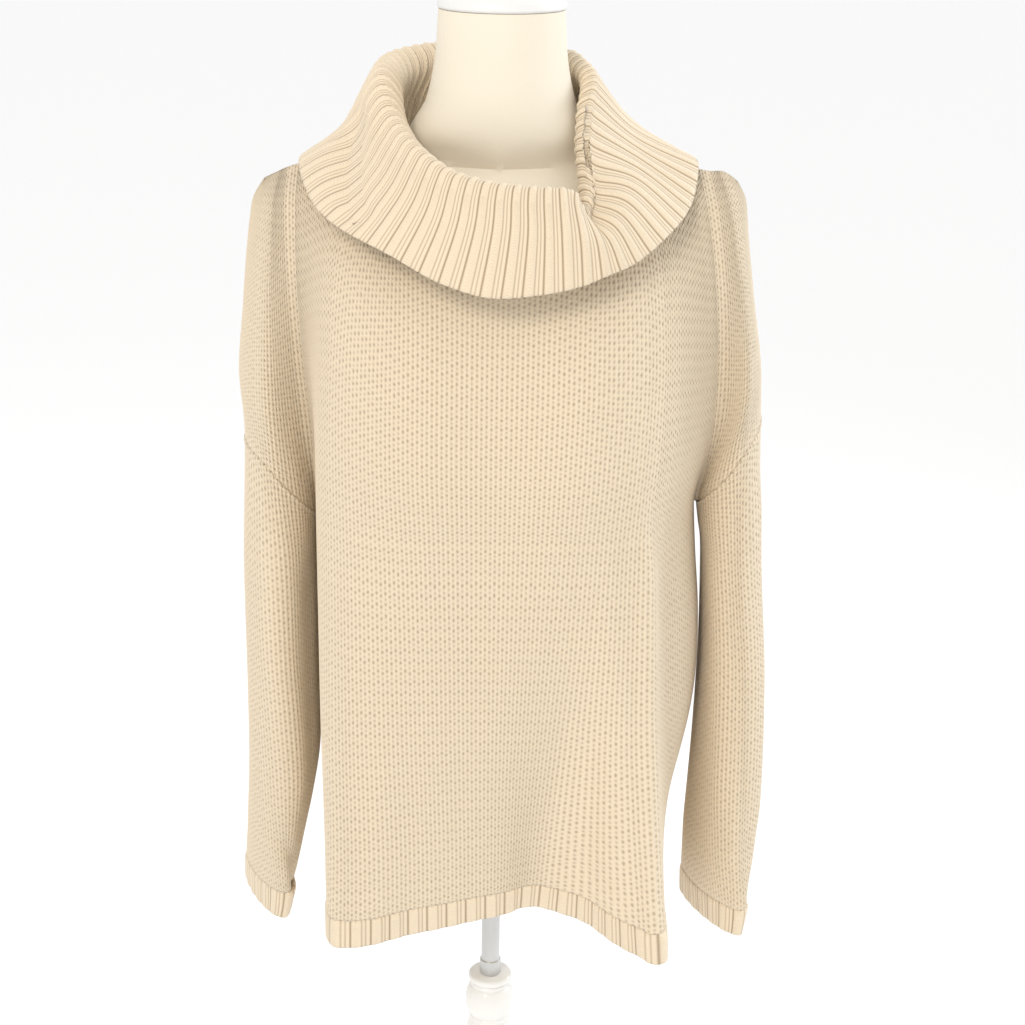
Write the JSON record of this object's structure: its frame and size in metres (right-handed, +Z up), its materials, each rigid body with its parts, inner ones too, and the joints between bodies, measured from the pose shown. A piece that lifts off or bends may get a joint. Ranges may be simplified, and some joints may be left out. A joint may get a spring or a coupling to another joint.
{
  "type": "cowl neck sweater on a dress form",
  "caption": "Oversized knitted pullover with dropped shoulders, long hanging sleeves and a wide ribbed cowl folded over, on a limbless dress form with a pole, a turned column and a round foot",
  "frame": {"origin": "on the floor, in the middle of the foot's flat underside, on the pole's axis", "axes": "+Z up, the sweater's front faces -Y, +X is the right side of the front as a viewer sees it"},
  "size_m": [0.49, 0.3021, 1.434],
  "materials": {
    "knit": "cream wool half-cardigan knit",
    "rib": "cream wool wide rib",
    "jersey": "smooth off-white jersey cover",
    "cap": "satin light grey",
    "pole": "satin light grey",
    "painted_wood": "satin white paint"
  },
  "bodies": {
    "root": {"front_panel": "knit", "back_panel": "knit", "sleeve_left": "knit", "sleeve_right": "knit", "cuff_left": "rib", "cuff_right": "rib", "cowl_collar": "rib", "hem_rib_front": "rib", "hem_rib_back": "rib", "dress_form": "jersey", "neck_cap": "cap", "stand_pole": "pole", "stand_column": "painted_wood", "stand_base": "painted_wood"}
  },
  "joints": []
}
